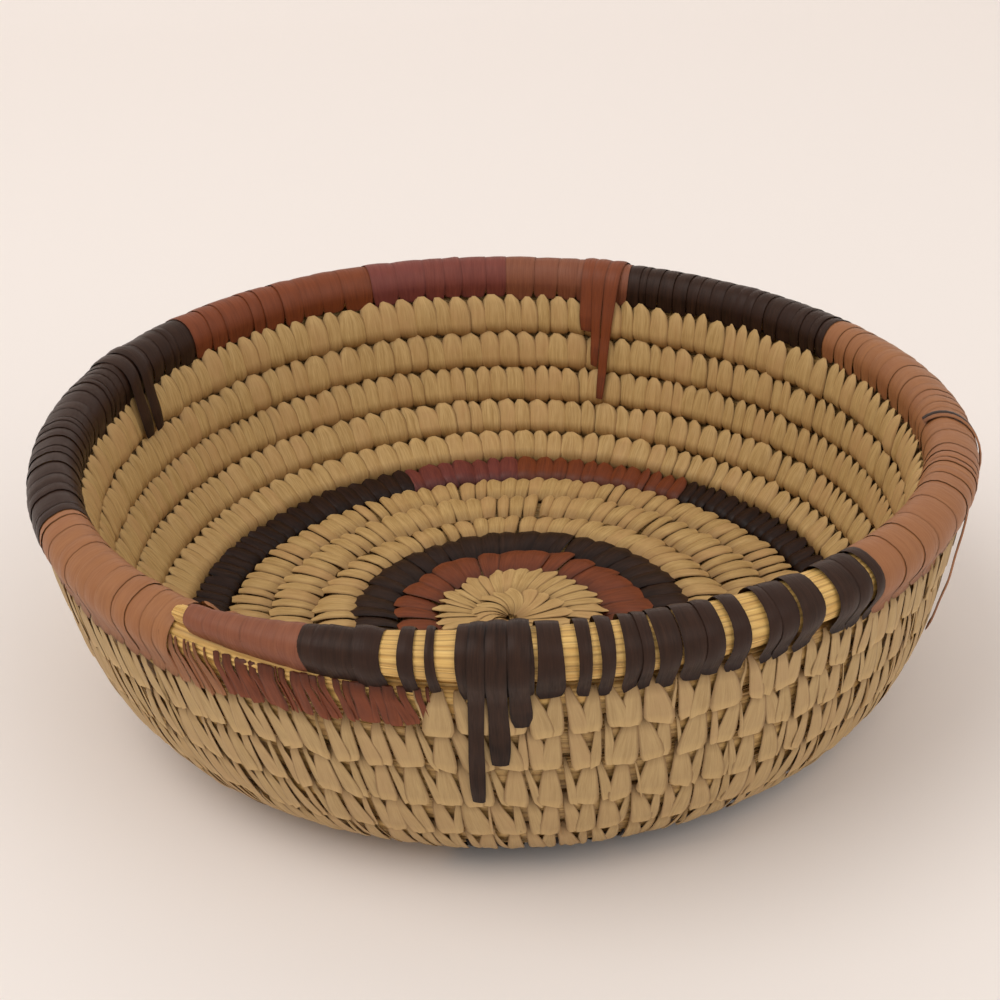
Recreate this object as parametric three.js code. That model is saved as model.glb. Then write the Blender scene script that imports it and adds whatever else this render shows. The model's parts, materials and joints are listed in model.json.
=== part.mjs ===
import * as THREE from "three";

// A round coiled basket. One bundle of grass is wound outwards over a flat floor and on up a flaring
// wall to the rim. Palm leaf stitching covers it in lengths of different colours, and a few long
// stitches run over the courses. Millimetres, +Z up, standing on z = 0. Angles grow anticlockwise
// seen from above, and the coil winds clockwise. A place on the coil is its number of turns.

// Driving sizes of the coil
const floorPitch = 11.8; // width of one course on the floor
const centreDraw = 1.5; // how much nearer the axis the first turns are drawn
const floorTurns = 6.44; // turns that lie flat
const rimTurn = 13.5; // turn at which the rim has its mean radius and height
const rimRadius = 114; // axis to the middle of the rim coil
const rimHeight = 63.6; // ground to the middle of the rim coil
const rimFlare = 24; // degrees that the wall leans out at the rim
const wallFullness = 0.5; // how far the wall bulges out low down, as a share of its slant height
const rimPull = 0.24; // how long the wall keeps the rim's lean, as a share of its slant height
const courseThickness = 12; // through the wall, over the corners of the section
const rimThickness = 12.8; // the same on the rim, which is a little stouter
const courseGap = 0.6; // between neighbouring courses

// Where the coil starts and ends
const firstTurn = 5 / 12;
const lastTurn = 14 + 2 / 24;
const startSize = 0.7; // the bundle starts thin and is full after one turn
const startRun = 3; // straight stretch at the very start
const taperTurn = 13.985; // the rim's end grows thin from here
const endSize = 0.36;
const startAngle = -98; // degrees, where each turn of the coil begins

// How far the handmade rim is off a level circle: plan shift, rise towards +X and +Y, and two-lobed terms
const rimShift = [-2.7, 0.1];
const rimTilt = [-2.05, -0.57];
const rimOval = [-0.77, -0.3];
const rimWave = [-0.15, -0.86];

// Stitching and bundle
const leafWall = 1.3; // stitching over the bundle, both strands that cross a course
const leafClearance = 0.36; // corner to corner, which leaves about 0.3 between the faces
const seam = 0.3; // between two lengths of stitching along the coil

// Facets
const sides = 6;
const innerSteps = 12; // per turn, up to innerTurns
const steps = 24; // per turn, further out
const innerTurns = 2;

// Long stitches
const longStitchThickness = 0.8;
const frontStitchWidth = 4.2;
const backStitchWidth = 3.5;
const leftStitchWidth = 3.4;
const looseStrandWidth = 1.3;
const frontStitchGap = 0.3; // from one long stitch to the next, on the lowest course that both cross
const backStitchGap = 0.5;
const leftStitchGap = 1.4;
const looseStrandGap = 0.45;
const longStitchClearance = 0.3; // off the stitching under them

const straw = 0xbea06e;
const rust = 0x7d3c28;
const dark = 0x3c2d2d;
const maroon = 0x69323c;
const brown = 0x8a4f2c;
const tan = 0xa56e50;
const grass = 0xd2ac5c;

const undersideShare = 0.8; // the floor is pressed flat at this share of half its thickness
const floorLift = (undersideShare * courseThickness) / 2;

// Half section of the wall, from the floor's edge to the rim
const floorEdge = new THREE.Vector2(floorPitch * floorTurns - centreDraw, floorLift);
const rimMiddle = new THREE.Vector2(rimRadius, rimHeight);
const slant = floorEdge.distanceTo(rimMiddle);
const flare = THREE.MathUtils.degToRad(rimFlare);
const rimLean = new THREE.Vector2(Math.sin(flare), Math.cos(flare));
const wall = new THREE.CubicBezierCurve(
  floorEdge,
  floorEdge.clone().add(new THREE.Vector2(wallFullness * slant, 0)),
  rimMiddle.clone().addScaledVector(rimLean, -rimPull * slant),
  rimMiddle,
);

const angleAt = (turn) => THREE.MathUtils.degToRad(startAngle) - 2 * Math.PI * turn;

// Radius and height of the coil's middle at a turn, before the rim's end is thinned
function course(turn) {
  const share = (turn - floorTurns) / (rimTurn - floorTurns);
  if (share <= 0) return new THREE.Vector2(floorPitch * turn - centreDraw, floorLift);
  const past = Math.max(share - 1, 0) * wall.getLength();
  const middle = wall.getPointAt(Math.min(share, 1)).addScaledVector(rimLean, past);
  const angle = angleAt(turn);
  const once = [Math.cos(angle), Math.sin(angle)];
  const twice = [Math.cos(2 * angle), Math.sin(2 * angle)];
  const along = (term, wave) => term[0] * wave[0] + term[1] * wave[1];
  middle.x += share * (along(rimShift, once) + along(rimOval, twice));
  middle.y += share * (along(rimTilt, once) + along(rimWave, twice));
  return middle;
}

// The section at a turn, in the half plane of its angle: its middle, the direction of the next course
// out, and its half widths towards the course inside, towards the one outside and through the wall
function section(turn) {
  const middle = course(turn);
  const inside = turn < 1 ? new THREE.Vector2(0, middle.y) : course(turn - 1);
  const outside = course(turn + 1);
  const out = outside.clone().sub(inside).normalize();
  const halfTo = (other) => (middle.distanceTo(other) - courseGap) / 2;
  const innermost = 0.85 * middle.x;
  const half = turn < 1 ? Math.min((floorPitch - courseGap) / 2, innermost) : halfTo(inside);
  const onTop = turn > lastTurn - 1 + 1e-9;
  const rimShare = THREE.MathUtils.clamp((turn - rimTurn + 1) * 2, 0, 1);
  const thickness = THREE.MathUtils.lerp(courseThickness, rimThickness, rimShare) / 2;
  const grown = THREE.MathUtils.lerp(startSize, 1, Math.min((turn - firstTurn) / (1 - firstTurn), 1));
  const worn = THREE.MathUtils.clamp((turn - taperTurn) / (lastTurn - taperTurn), 0, 1);
  const left = THREE.MathUtils.lerp(1, endSize, worn);
  middle.addScaledVector(out, (left - 1) * half);
  if (turn < 1) middle.y = floorLift * grown;
  return {
    middle,
    out,
    inner: half * left,
    outer: onTop ? (rimThickness / 2) * left : halfTo(outside),
    through: thickness * Math.min(grown, 1) * left,
  };
}

// Six corners of the section at a turn, moved in by a depth, and kept above the flat underside
function corners(turn, depth) {
  const { middle, out, inner, outer, through } = section(turn);
  const normal = new THREE.Vector2(-out.y, out.x);
  const angle = angleAt(turn);
  const ring = [];
  for (let i = 0; i < sides; i++) {
    const around = (2 * Math.PI * i) / sides;
    const across = Math.cos(around) * ((Math.cos(around) > 0 ? outer : inner) - depth);
    const up = Math.sin(around) * (through - depth);
    const point = middle.clone().addScaledVector(out, across).addScaledVector(normal, up);
    const height = Math.max(point.y, depth);
    ring.push(new THREE.Vector3(point.x * Math.cos(angle), point.x * Math.sin(angle), height));
  }
  return ring;
}

// Turns at which the faceted coil has its corners
const stations = [];
for (let i = Math.round(firstTurn * innerSteps); i < innerTurns * innerSteps; i++) {
  stations.push(i / innerSteps);
}
for (let i = innerTurns * steps; i <= Math.round(lastTurn * steps); i++) {
  stations.push(i / steps);
}

// The corners at any turn, on the straight facets between two stations
function ringAt(turn, depth) {
  const next = stations.findIndex((station) => station >= turn - 1e-9);
  if (next <= 0 || stations[next] - turn < 1e-9) return corners(stations[Math.max(next, 0)], depth);
  const share = (turn - stations[next - 1]) / (stations[next] - stations[next - 1]);
  const ahead = corners(stations[next], depth);
  return corners(stations[next - 1], depth).map((corner, i) => corner.lerp(ahead[i], share));
}

// The rings of a stretch of coil, with its straight start where it has one
function ringsBetween(from, to, depth) {
  const inside = stations.filter((station) => station > from + 1e-6 && station < to - 1e-6);
  const rings = [from, ...inside, to].map((turn) => ringAt(turn, depth));
  if (from > firstTurn) return rings;
  const run = new THREE.Vector3();
  rings[0].forEach((corner, i) => run.add(corner).sub(rings[1][i]));
  run.z = 0;
  run.setLength(startRun);
  return [rings[0].map((corner) => corner.clone().add(run)), ...rings];
}

// A closed tube through rings of corners, with a through bore where bore rings are given
function tube(rings, bore = []) {
  const round = rings[0].length;
  const points = [...rings, ...bore].flat().flatMap((corner) => corner.toArray());
  const faces = [];
  const quad = (a, b, c, d) => faces.push(a, b, c, a, c, d);
  const skin = (first, count, outwards) => {
    for (let k = 0; k < count - 1; k++) {
      for (let i = 0; i < round; i++) {
        const here = first + k * round + i;
        const beside = first + k * round + ((i + 1) % round);
        if (outwards) quad(here, beside, beside + round, here + round);
        else quad(here, here + round, beside + round, beside);
      }
    }
  };
  skin(0, rings.length, true);
  const lastRing = (rings.length - 1) * round;
  if (bore.length) {
    const boreStart = rings.length * round;
    skin(boreStart, bore.length, false);
    for (let i = 0; i < round; i++) {
      const j = (i + 1) % round;
      quad(i, boreStart + i, boreStart + j, j);
      quad(lastRing + i, lastRing + j, boreStart + lastRing + j, boreStart + lastRing + i);
    }
  } else {
    for (let i = 1; i < round - 1; i++) {
      faces.push(0, i + 1, i);
      faces.push(lastRing, lastRing + i, lastRing + i + 1);
    }
  }
  const geometry = new THREE.BufferGeometry();
  geometry.setAttribute("position", new THREE.Float32BufferAttribute(points, 3));
  geometry.setIndex(faces);
  geometry.computeVertexNormals();
  return geometry;
}

// Stitching over the bundle between two turns, a seam short of its neighbours
function stitching(from, to) {
  const trim = (turn) => seam / 2 / (2 * Math.PI * Math.max(course(turn).x, floorPitch));
  const start = from > firstTurn ? from + trim(from) : from;
  const end = to - trim(to);
  return tube(ringsBetween(start, end, 0), ringsBetween(start, end, leafWall));
}

const outerFace = [5, 4]; // corners of the section on the wall's outer side, going down
const innerFace = [1, 2]; // the same on the inner side
const topCorner = 0;

// A flat strand that runs down over the courses at one angle, from the top course to a lower one.
// Lifts are how far it stands off the wall at each corner that it passes.
function longStitch(turn, courses, face, width, lifts = []) {
  const off = (longStitchClearance + longStitchThickness / 2) / Math.cos(Math.PI / sides);
  const route = [];
  for (let down = 0; down < courses; down++) {
    const ring = ringAt(turn - down, 0);
    const middle = ring[0].clone().lerp(ring[3], 0.5);
    const passed = down === 0 ? [topCorner, ...face] : face;
    for (const i of passed) {
      const away = ring[i].clone().sub(middle).normalize();
      route.push(ring[i].clone().addScaledVector(away, off + (lifts[route.length] ?? 0)));
    }
  }
  const angle = angleAt(turn);
  const aside = new THREE.Vector3(-Math.sin(angle), Math.cos(angle), 0);
  if (face === innerFace) aside.negate();
  const rings = route.map((point, k) => {
    const before = route[Math.max(k - 1, 0)];
    const after = route[Math.min(k + 1, route.length - 1)];
    const along = after.clone().sub(before).normalize();
    const away = along.clone().cross(aside).normalize();
    const corner = (x, y) =>
      point
        .clone()
        .addScaledVector(aside, (x * width) / 2)
        .addScaledVector(away, (y * longStitchThickness) / 2);
    return [corner(-1, -1), corner(1, -1), corner(1, 1), corner(-1, 1)];
  });
  return tube(rings);
}

const basket = new THREE.Group();

function add(name, geometry, color, roughness = 0.8) {
  const material = new THREE.MeshStandardMaterial({ color, roughness, metalness: 0, flatShading: true });
  const mesh = new THREE.Mesh(geometry, material);
  mesh.name = name;
  basket.add(mesh);
}

// The bundle, one unbroken tube
const coreDepth = leafWall + leafClearance;
const coreRings = ringsBetween(firstTurn, lastTurn, coreDepth);
add("foundation_coil", tube(coreRings), grass, 0.9);

// Lengths of stitching: name, first turn, last turn, colour
const lengths = [
  ["centre_stitching", firstTurn, 2, straw],
  ["rust_ring_stitching", 2, 3, rust],
  ["dark_ring_stitching", 3, 4, dark],
  ["floor_stitching_inner", 4, 5, straw],
  ["floor_stitching_middle", 5, 6, straw],
  ["floor_stitching_outer", 6, 7, straw],
  ["band_stitching_dark_left", 7, 7.42, dark],
  ["band_stitching_maroon", 7.42, 7.485, maroon],
  ["band_stitching_rust", 7.485, 7.585, rust],
  ["band_stitching_dark_right", 7.585, 8, dark],
  ["rim_stitching_rust_start", 13, 13.064, rust],
  ["rim_stitching_tan_left", 13.064, 13.164, tan],
  ["rim_stitching_dark_left", 13.164, 13.328, dark],
  ["rim_stitching_rust", 13.328, 13.42, rust],
  ["rim_stitching_maroon", 13.42, 13.48, maroon],
  ["rim_stitching_brown", 13.48, 13.535, brown],
  ["rim_stitching_dark_back", 13.535, 13.641, dark],
  ["rim_stitching_tan_right", 13.641, 13.862, tan],
  ["rim_stitching_brown_end", 14.038, 14.078, brown],
];
for (const [name, from, to, color] of lengths) add(name, stitching(from, to), color);

// The plain courses of the wall, each sewn with one length of leaf after another
const wallStart = 8; // turn of the first
const wallCourses = 5;
const quarters = ["front_left", "back_left", "back_right", "front_right"];
for (let i = 0; i < wallCourses; i++) {
  quarters.forEach((quarter, k) => {
    const from = wallStart + i + k / quarters.length;
    add(`wall_stitching_${i + 1}_${quarter}`, stitching(from, from + 1 / quarters.length), straw);
  });
}

// The front of the rim is wrapped in groups, with the grass bare between them
const bareGrass = 0.004; // turns left bare after each group
const groupStarts = [13.862, 13.884, 13.911, 13.963, 13.996];
const groupsEnd = 14.042;
groupStarts.forEach((from, i) => {
  const to = (groupStarts[i + 1] ?? groupsEnd) - bareGrass;
  add(`rim_stitching_dark_front_${i + 1}`, stitching(from, to), dark);
});

// Sets of long stitches, side by side: name, turn of the first, courses that each crosses, side, width,
// gap to the next and colour
const longStitchSets = [
  ["front_long_stitch", 13.976, [2, 3, 4], outerFace, frontStitchWidth, frontStitchGap, [dark, dark, dark]],
  ["back_long_stitch", 13.5185, [2, 3, 4], innerFace, backStitchWidth, backStitchGap, [rust, rust, rust]],
  ["left_long_stitch", 13.284, [2, 3], innerFace, leftStitchWidth, leftStitchGap, [dark, dark]],
  ["right_loose_strand", 13.79, [4, 4], outerFace, looseStrandWidth, looseStrandGap, [dark, tan]],
];
const looseStrandLifts = [0, 0, 0.6, 2.4, 3.4, 3.2, 1.6, 0, 0]; // they stand off the wall in between
for (const [name, first, crossed, face, width, gap, colors] of longStitchSets) {
  const lifts = name === "right_loose_strand" ? looseStrandLifts : [];
  let turn = first;
  crossed.forEach((courses, i) => {
    add(`${name}_${i + 1}`, longStitch(turn, courses, face, width, lifts), colors[i]);
    turn += (width + gap) / (2 * Math.PI * course(turn - courses + 1).x);
  });
}

// Stands the group's box on the origin, by its bottom centre
const box = new THREE.Box3().setFromObject(basket, true);
const middle = box.getCenter(new THREE.Vector3());
basket.position.set(-middle.x, -middle.y, -box.min.z);

// Least distance between the points of a winding and its own other turns
function leastGap(depth) {
  const rings = stations.map((turn) => corners(turn, depth));
  let least = Infinity;
  for (let a = 0; a < rings.length; a++) {
    for (let b = a + 1; b < rings.length; b++) {
      if (stations[b] - stations[a] < 0.5) continue;
      for (const p of rings[a]) for (const q of rings[b]) least = Math.min(least, p.distanceTo(q));
    }
  }
  return least;
}
console.log(`least gap of the bundle to itself ${leastGap(coreDepth).toFixed(2)} mm`);
console.log(`least gap between courses ${leastGap(0).toFixed(2)} mm`);
console.log(`axis of the coil at x ${basket.position.x.toFixed(2)}, y ${basket.position.y.toFixed(2)} mm`);

export default basket;
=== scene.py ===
import json
import bpy
import numpy as np
from mathutils import Matrix, Vector


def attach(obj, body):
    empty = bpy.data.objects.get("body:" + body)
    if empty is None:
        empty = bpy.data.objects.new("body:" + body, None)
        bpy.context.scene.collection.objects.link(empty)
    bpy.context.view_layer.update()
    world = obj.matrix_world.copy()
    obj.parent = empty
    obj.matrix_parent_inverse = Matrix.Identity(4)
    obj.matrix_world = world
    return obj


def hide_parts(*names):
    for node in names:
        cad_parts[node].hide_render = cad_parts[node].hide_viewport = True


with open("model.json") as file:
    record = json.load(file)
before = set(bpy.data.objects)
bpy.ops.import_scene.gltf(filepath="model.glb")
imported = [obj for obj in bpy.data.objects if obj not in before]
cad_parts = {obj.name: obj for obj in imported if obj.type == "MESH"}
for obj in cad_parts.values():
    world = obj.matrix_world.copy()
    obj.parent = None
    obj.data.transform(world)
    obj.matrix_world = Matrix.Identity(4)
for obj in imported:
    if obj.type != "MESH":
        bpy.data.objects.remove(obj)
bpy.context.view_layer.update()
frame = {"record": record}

mm = 0.001
rng = np.random.default_rng(11)

# The coil, in millimetres and degrees, in the frame's axes. A place on it is its number of turns from the
# centre, and it winds clockwise outwards seen from above.
coil = {
    "floorPitch": 11.8,         # width of one course on the floor
    "centreDraw": 1.5,          # how much nearer the axis the first turns are drawn
    "floorTurns": 6.44,         # turns that lie flat
    "floorLift": 4.8,           # ground to the middle of the floor's courses
    "rimTurn": 13.5,            # turn at which the rim has its mean radius and height
    "rimRadius": 114.0,         # axis to the middle of the rim coil
    "rimHeight": 63.6,          # ground to the middle of the rim coil
    "rimFlare": 24,             # how far the wall leans out at the rim
    "wallFullness": 0.5,        # how far the wall bulges out low down, as a share of its slant height
    "rimPull": 0.24,            # how long the wall keeps the rim's lean
    "startAngle": -98,          # where each turn begins
    "rimShift": (-2.7, 0.1),    # how far the handmade rim is off a level circle
    "rimTilt": (-2.05, -0.57),
    "rimOval": (-0.77, -0.3),
    "rimWave": (-0.15, -0.86),
    "halfThrough": 6.0,         # half the wall's thickness over a course
    "halfRim": 6.4,             # the same on the rim
    "rimGrows": 12.5,           # turn from which the course grows into the rim, over half a turn
    "startSize": 0.75,          # share of the thickness that the coil starts with
    "firstTurn": 5 / 12,
    "lastTurn": 14 + 2 / 24,
    "taperTurn": 13.985,        # the rim's end grows thin from here
    "endSize": 0.36,            # share of the thickness that is left there
    "axis": (1.64, 1.27),       # the coil's axis in the frame
    "pressed": 1.2,             # height above the ground, and radius, under which shapes are pressed together
    "leastRadius": 2.5,         # under which a millimetre along the coil isn't a wider turn any more
}

floorEdge = np.array([coil["floorPitch"] * coil["floorTurns"] - coil["centreDraw"], coil["floorLift"]])
rimMiddle = np.array([coil["rimRadius"], coil["rimHeight"]])
slant = np.linalg.norm(rimMiddle - floorEdge)
rimLean = np.array([np.sin(np.radians(coil["rimFlare"])), np.cos(np.radians(coil["rimFlare"]))])


def wallProfile(count=400):
    # The wall's half section: a cubic Bezier that leaves the floor level and comes to the rim along its lean,
    # as points with the length along it
    x = np.linspace(0, 1, count)[:, None]
    pulls = [floorEdge, floorEdge + (coil["wallFullness"] * slant, 0),
             rimMiddle - rimLean * coil["rimPull"] * slant, rimMiddle]
    weights = [(1 - x) ** 3, 3 * x * (1 - x) ** 2, 3 * x * x * (1 - x), x ** 3]
    points = sum(w * p for w, p in zip(weights, pulls))
    length = np.r_[0, np.cumsum(np.linalg.norm(np.diff(points, axis=0), axis=1))]
    return points, length


wallPoints, wallLength = wallProfile()
wallTurns = coil["rimTurn"] - coil["floorTurns"]
wallPitch = wallLength[-1] / wallTurns


def angleAt(turn):
    # The angle round the axis, which falls by a whole round in each turn
    return np.radians(coil["startAngle"]) - 2 * np.pi * turn


def middle(turn, angle):
    # Radius and height of the wall's middle surface: level and evenly spaced on the floor, at equal steps
    # along the profile on the wall, and straight on past the rim. The rim's unevenness grows in from the
    # floor's edge, as waves with one and with two lobes round the basket.
    share = (turn - coil["floorTurns"]) / wallTurns
    length = share * wallLength[-1]
    past = np.maximum(length - wallLength[-1], 0)
    radius = np.interp(length, wallLength, wallPoints[:, 0]) + past * rimLean[0]
    height = np.interp(length, wallLength, wallPoints[:, 1]) + past * rimLean[1]
    flat = share <= 0
    radius = np.where(flat, coil["floorPitch"] * turn - coil["centreDraw"], radius)
    share = np.where(flat, 0, share)

    def waves(once, twice):
        # A cosine and a sine with one lobe round the basket, and a cosine and a sine with two
        return (once[0] * np.cos(angle) + once[1] * np.sin(angle)
                + twice[0] * np.cos(2 * angle) + twice[1] * np.sin(2 * angle))

    radius = radius + share * waves(coil["rimShift"], coil["rimOval"])
    height = height + share * waves(coil["rimTilt"], coil["rimWave"])
    return radius, height


def skin(turn, share, height):
    # A point of the basket: at a turn of the coil, a share of a course above its middle, and a height off the
    # middle surface, towards the inside where it is positive. What would reach below the ground, or over the
    # axis, is pressed together: under a least size it falls off as an exponential, and never to 0.
    angle = angleAt(turn)
    step = 0.05
    press = coil["pressed"]
    ahead = middle(turn + share + step, angle)
    behind = middle(turn + share - step, angle)
    radius, z = middle(turn + share, angle)
    outR, outZ = ahead[0] - behind[0], ahead[1] - behind[1]
    size = np.hypot(outR, outZ)
    radius = radius - height * outZ / size
    z = z + height * outR / size
    radius = np.where(radius < press, press * np.exp(radius / press - 1), radius)
    z = np.where(z < press, press * np.exp(np.minimum(z, press) / press - 1), z)
    x = coil["axis"][0] + radius * np.cos(angle)
    y = coil["axis"][1] + radius * np.sin(angle)
    return np.stack([x, y, z], -1)


def radiusAt(turn):
    # Radius of a course's middle, for turning millimetres along the coil into turns
    return np.maximum(middle(turn, angleAt(turn))[0], coil["leastRadius"])


def through(turn):
    # Half the thickness of a course: stouter on the rim, thin at the very start, running out at the rim's end
    turn = np.asarray(turn, float)
    rim = np.clip((turn - coil["rimGrows"]) * 2, 0, 1)
    grown = (1 - coil["startSize"]) * (turn - coil["firstTurn"]) / (1 - coil["firstTurn"])
    start = np.clip(coil["startSize"] + grown, 0, 1)
    return (coil["halfThrough"] * (1 - rim) + coil["halfRim"] * rim) * start * worn(turn)


def worn(turn):
    # What is left of the rim coil's thickness as it runs out
    share = np.clip((turn - coil["taperTurn"]) / (coil["lastTurn"] - coil["taperTurn"]), 0, 1)
    return 1 + (coil["endSize"] - 1) * share


def smooth(x, knots, values):
    # A smooth line through the values at the knots: cubic pieces whose slopes come from their neighbours
    knots, values = np.asarray(knots, float), np.asarray(values, float)
    slopes = np.gradient(values, knots)
    i = np.clip(np.searchsorted(knots, x) - 1, 0, len(knots) - 2)
    gap = knots[i + 1] - knots[i]
    u = np.clip((x - knots[i]) / gap, 0, 1)
    return ((2 * u ** 3 - 3 * u ** 2 + 1) * values[i] + (u ** 3 - 2 * u ** 2 + u) * gap * slopes[i]
            + (3 * u ** 2 - 2 * u ** 3) * values[i + 1] + (u ** 3 - u ** 2) * gap * slopes[i + 1])


sharpFrom = 42   # degrees between two faces, past which their edge stays sharp


def meshObject(name, points, quads, caps, uvs, notes, material):
    # Puts arrays of points, quads and end caps into a mesh, with the leaf's own map and notes at its points
    mesh = bpy.data.meshes.new(name)
    counts = [4] * len(quads)
    loops = [quads.reshape(-1)]
    for cap in caps:
        counts += [cap.shape[1]] * len(cap)
        loops.append(cap.reshape(-1))
    loops = np.concatenate(loops).astype(np.int32)
    starts = np.r_[0, np.cumsum(counts)[:-1]].astype(np.int32)
    mesh.vertices.add(len(points))
    mesh.vertices.foreach_set("co", (points * mm).astype(np.float32).ravel())
    mesh.loops.add(len(loops))
    mesh.loops.foreach_set("vertex_index", loops)
    mesh.polygons.add(len(counts))
    mesh.polygons.foreach_set("loop_start", starts)
    mesh.update(calc_edges=True)
    uvLayer = mesh.uv_layers.new(name="leafMap")
    uvLayer.data.foreach_set("uv", uvs[loops].astype(np.float32).ravel())
    note = mesh.attributes.new("leafNote", "FLOAT_VECTOR", "POINT")
    note.data.foreach_set("vector", notes.astype(np.float32).ravel())
    mesh.validate()
    mesh.shade_smooth()
    mesh.set_sharp_from_angle(angle=np.radians(sharpFrom))
    mesh.materials.append(material)
    piece = bpy.data.objects.new(name, mesh)
    bpy.context.scene.collection.objects.link(piece)
    return piece


# The section of a leaf strip: a flat lens of seven points, five over its top and two below
lens = {
    "across": np.array([-1, -0.62, 0, 0.62, 1, 0.5, -0.5]),   # shares of half the width
    "below": np.array([0, 0, 0, 0, 0, 1, 1]),                 # 1 for the points one leaf's thickness lower
    "creased": np.array([0, 1, 1, 1, 0, 0, 0]),               # 1 for the points that creases move
    "fullness": 2.4,                                          # power of the crown: the higher, the squarer
    "weatheredMark": 2.0,                                     # added to the edge note on the outer side
}


def lensPlaces(turn, drift, halfWidth):
    # The turn of each lens point: its strip's turn, moved along the coil by the drift and its share of width
    perMm = (1 / (2 * np.pi * radiusAt(turn)))[:, None, None]
    return turn[:, None, None] + (drift[:, :, None] + lens["across"] * halfWidth[:, :, None]) * perMm


def strips(turn, drift, halfWidth, share, height, side, crown, roll, wall, tone, slant=0.0, crease=0.0,
           weathered=False):
    # Many leaf strips at once. Each follows its line of shares and heights down a course, its drift moves it
    # along the coil in millimetres, and a lens is carried along it, crowned, creased and rolled to one side.
    # Slant turns the cut at its far end. The faces point off the wall, whichever way the shares run.
    across = lens["across"]
    count, steps = share.shape
    place = lensPlaces(turn, drift, halfWidth)
    folds = rng.normal(0, 1, (count, 1, len(across))) * lens["creased"] * crease
    bow = (1 - np.abs(across) ** lens["fullness"]) * crown[:, :, None] + across * roll[:, None, None] + folds
    lift = side * (height[:, :, None] + bow - lens["below"] * wall)
    cutTurn = np.linspace(0, 1, steps)[None, :, None] ** 3 * np.broadcast_to(slant, count)[:, None, None]
    points = skin(place, share[:, :, None] + across * cutTurn, lift)
    turnedOut = -side * np.sign(share[0, -1] - share[0, 0])
    return stripMesh(points, halfWidth, np.linspace(0, 1, steps), tone, turnedOut, 1.0, weathered)


def stripMesh(points, halfWidth, reach, tone, turnedOut, edge=1.0, weathered=False):
    # Faces between the lenses of each strip, its two ends closed, with its map in mm and its notes: the
    # strip's own tone, how far along it a point is, and how near its edge, with a mark added to that on the
    # weathered outer side
    across = lens["across"]
    count, steps, ring = points.shape[:3]
    stretch = np.linalg.norm(np.diff(points[:, :, 2], axis=1), axis=-1)
    run = np.concatenate([np.zeros((count, 1)), np.cumsum(stretch, axis=1)], axis=1)
    u = across * halfWidth.max(axis=1)[:, None, None] + 30 * tone[:, None, None]
    whole = np.ones((count, steps, ring))
    uvs = np.stack([u * whole, run[:, :, None] * whole], -1).reshape(-1, 2)
    toEdge = np.abs(across) * edge + lens["weatheredMark"] * weathered
    notes = np.stack([tone[:, None, None] * whole, reach[None, :, None] * whole, toEdge * whole], -1)
    base = (np.arange(count) * steps * ring)[:, None, None]
    k = np.arange(steps - 1)[None, :, None]
    m = np.arange(ring)[None, None, :]
    here = base + k * ring + m
    beside = base + k * ring + (m + 1) % ring
    quads = np.stack([here, here + ring, beside + ring, beside], -1).reshape(-1, 4)
    first = base[:, 0] + np.arange(ring)
    ends = np.concatenate([first, (first + (steps - 1) * ring)[:, ::-1]])
    if turnedOut < 0:
        quads = quads[:, ::-1]
        ends = ends[:, ::-1]
    return points.reshape(-1, 3), quads, [ends], uvs, notes.reshape(-1, 3)


def joined(parts):
    # Puts several sets of strips into one
    points, quads, caps, uvs, notes = [], [], [], [], []
    shift = 0
    for p, q, c, u, n in parts:
        points.append(p)
        quads.append(q + shift)
        caps += [cap + shift for cap in c]
        uvs.append(u)
        notes.append(n)
        shift += len(p)
    return np.concatenate(points), np.concatenate(quads), caps, np.concatenate(uvs), np.concatenate(notes)


def varied(count, mean, spread):
    # Random values round a mean, on a bell curve
    return mean + spread * rng.standard_normal(count)


# Node groups and materials
def newGroup(name, inputs, outputs):
    # An empty node group with its sockets, as the group and its input and output node
    group = bpy.data.node_groups.new(name, "ShaderNodeTree")
    for label, kind, value in inputs:
        socket = group.interface.new_socket(label, in_out="INPUT", socket_type=kind)
        socket.default_value = value
    for label, kind in outputs:
        group.interface.new_socket(label, in_out="OUTPUT", socket_type=kind)
    return group, group.nodes.new("NodeGroupInput"), group.nodes.new("NodeGroupOutput")


def mathNode(tree, operation, a, b=None):
    # A Math node on two sockets or numbers
    node = tree.nodes.new("ShaderNodeMath")
    node.operation = operation
    for socket, value in zip(node.inputs, (a, b)):
        if value is None:
            continue
        if isinstance(value, (int, float)):
            socket.default_value = value
        else:
            tree.links.new(value, socket)
    return node.outputs[0]


def noiseNode(tree, vector, scale, detail=3.0, rough=0.55):
    # A Noise Texture node at a place that comes from a socket
    node = tree.nodes.new("ShaderNodeTexNoise")
    node.inputs["Scale"].default_value = scale
    node.inputs["Detail"].default_value = detail
    node.inputs["Roughness"].default_value = rough
    tree.links.new(vector, node.inputs["Vector"])
    return node.outputs["Fac"]


def rangeNode(tree, value, low, high, toLow=0.0, toHigh=1.0):
    # A Map Range node: a straight line from one value at the low end to another at the high end, level beyond
    node = tree.nodes.new("ShaderNodeMapRange")
    for label, number in (("From Min", low), ("From Max", high), ("To Min", toLow), ("To Max", toHigh)):
        node.inputs[label].default_value = number
    tree.links.new(value, node.inputs["Value"])
    return node.outputs["Result"]


def mixNode(tree, factor, a, b, kind="MIX"):
    # A Mix node for two colours, each of them a socket or a linear colour
    node = tree.nodes.new("ShaderNodeMix")
    node.data_type = "RGBA"
    node.blend_type = kind
    sockets = {s.identifier: s for s in node.inputs}
    for label, value in (("Factor_Float", factor), ("A_Color", a), ("B_Color", b)):
        socket = sockets[label]
        if isinstance(value, (int, float)):
            socket.default_value = value
        elif isinstance(value, tuple):
            socket.default_value = (*value, 1)
        else:
            tree.links.new(value, socket)
    return {s.identifier: s for s in node.outputs}["Result_Color"]


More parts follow.
